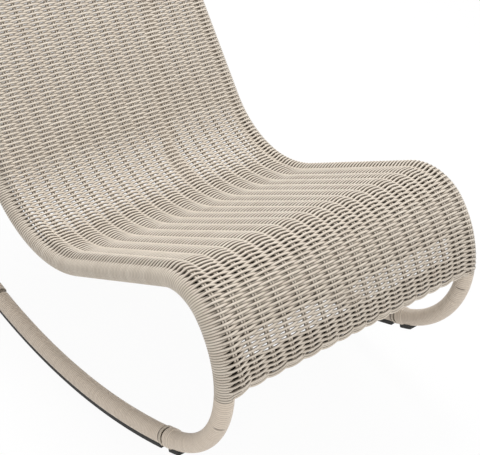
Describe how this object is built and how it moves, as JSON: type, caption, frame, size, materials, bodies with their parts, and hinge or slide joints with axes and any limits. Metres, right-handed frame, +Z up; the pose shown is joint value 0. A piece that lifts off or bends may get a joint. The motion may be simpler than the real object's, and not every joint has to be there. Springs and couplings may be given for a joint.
{
  "type": "wicker rocking chair",
  "caption": "Armless wicker rocking chair: bent side loops that run on as rockers, joined by rails, with one woven web for seat and back and rubber runners below.",
  "frame": {"origin": "on the floor, below the middle of the chair's box, with the empty chair at its balance", "axes": "+Z up, -Y the way the sitter faces, +X to the sitter's left; X 0 is the plane of symmetry"},
  "size_m": [0.6378, 1.1226, 0.682],
  "materials": {
    "pole": "close cane wrapping, greige wash, satin",
    "weave": "plain-woven round cane, greige wash, satin",
    "reed": "flat cane reed, greige wash, satin",
    "inner_wood": "bare peeled rattan, matt",
    "runner": "black rubber, matt"
  },
  "bodies": {
    "root": {"back_web": "weave", "front_web": "weave", "head_border": "weave", "head_rail": "inner_wood", "head_web": "weave", "left_front_binding": "reed", "left_front_dowel": "inner_wood", "left_front_runner_pad": "runner", "left_rear_binding": "reed", "left_rear_dowel": "inner_wood", "left_rear_runner_pad": "runner", "left_rocker_pole": "pole", "left_runner_strip": "runner", "left_side_pole": "pole", "lumbar_rail": "inner_wood", "lumbar_web": "weave", "nose_rail": "inner_wood", "right_front_binding": "reed", "right_front_dowel": "inner_wood", "right_front_runner_pad": "runner", "right_rear_binding": "reed", "right_rear_dowel": "inner_wood", "right_rear_runner_pad": "runner", "right_rocker_pole": "pole", "right_runner_strip": "runner", "right_side_pole": "pole", "seat_web": "weave", "skirt_border": "weave", "skirt_rail": "inner_wood"}
  },
  "joints": []
}
